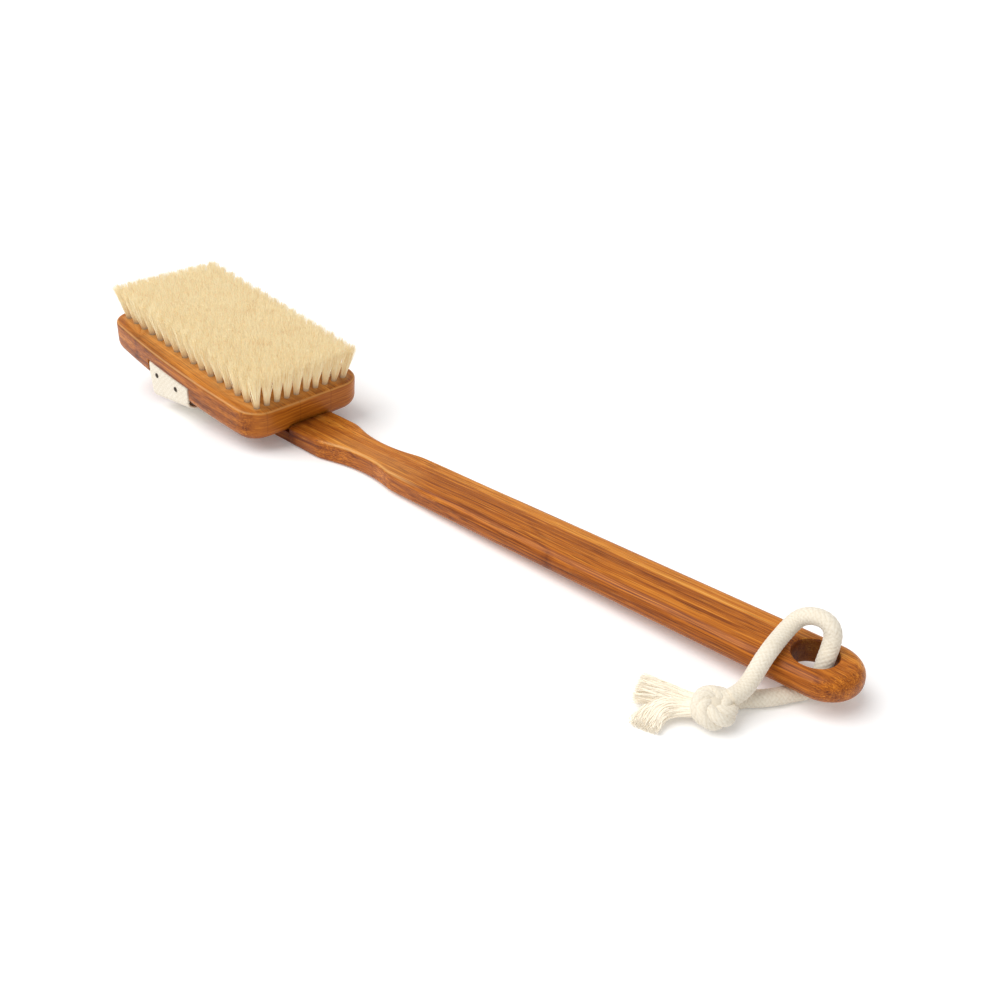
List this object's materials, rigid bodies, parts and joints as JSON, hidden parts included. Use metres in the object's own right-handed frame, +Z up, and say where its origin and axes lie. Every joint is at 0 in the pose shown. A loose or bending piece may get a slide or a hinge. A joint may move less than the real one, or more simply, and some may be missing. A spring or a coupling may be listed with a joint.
{
  "type": "body dry brush",
  "caption": "Bamboo body dry brush: natural bristles on a rectangular head with a cotton hand strap, a detachable long handle and a knotted cotton cord to hang it by.",
  "frame": {"origin": "under the middle of the wooden parts, on the surface that the brush lies on, bristles up", "axes": "+X from the head along the handle to the hanging end, +Z up, -Y the side that the cord's knot lies on"},
  "size_m": [0.4295, 0.0946, 0.0583],
  "materials": {
    "head_bamboo": "caramelised bamboo under clear varnish",
    "handle_bamboo": "caramelised bamboo under clear varnish",
    "bristle": "natural cream bristle, cut level",
    "anchor_wire": "drawn wire",
    "strap_webbing": "woven cotton webbing",
    "nail": "blackened steel",
    "cord_cotton": "twisted cotton cord"
  },
  "bodies": {
    "handle": {"handle": "handle_bamboo", "hanging_cord": "cord_cotton", "cord_knot": "cord_cotton", "cord_tail_a": "cord_cotton", "cord_tail_b": "cord_cotton"},
    "head": {"head_block": "head_bamboo", "tuft_row_01": "bristle", "tuft_row_02": "bristle", "tuft_row_03": "bristle", "tuft_row_04": "bristle", "tuft_row_05": "bristle", "tuft_row_06": "bristle", "tuft_row_07": "bristle", "tuft_row_08": "bristle", "tuft_row_09": "bristle", "tuft_row_10": "bristle", "tuft_row_11": "bristle", "tuft_row_12": "bristle", "tuft_row_13": "bristle", "tuft_row_14": "bristle", "tuft_row_15": "bristle", "tuft_row_16": "bristle", "anchor_wires": "anchor_wire", "hand_strap": "strap_webbing", "strap_nails": "nail"}
  },
  "joints": [
    {"name": "head_off", "type": "slide", "parent": "handle", "child": "head", "axis": [-0.9907, 0, 0.1357], "range_m": [0, 0.05]}
  ]
}
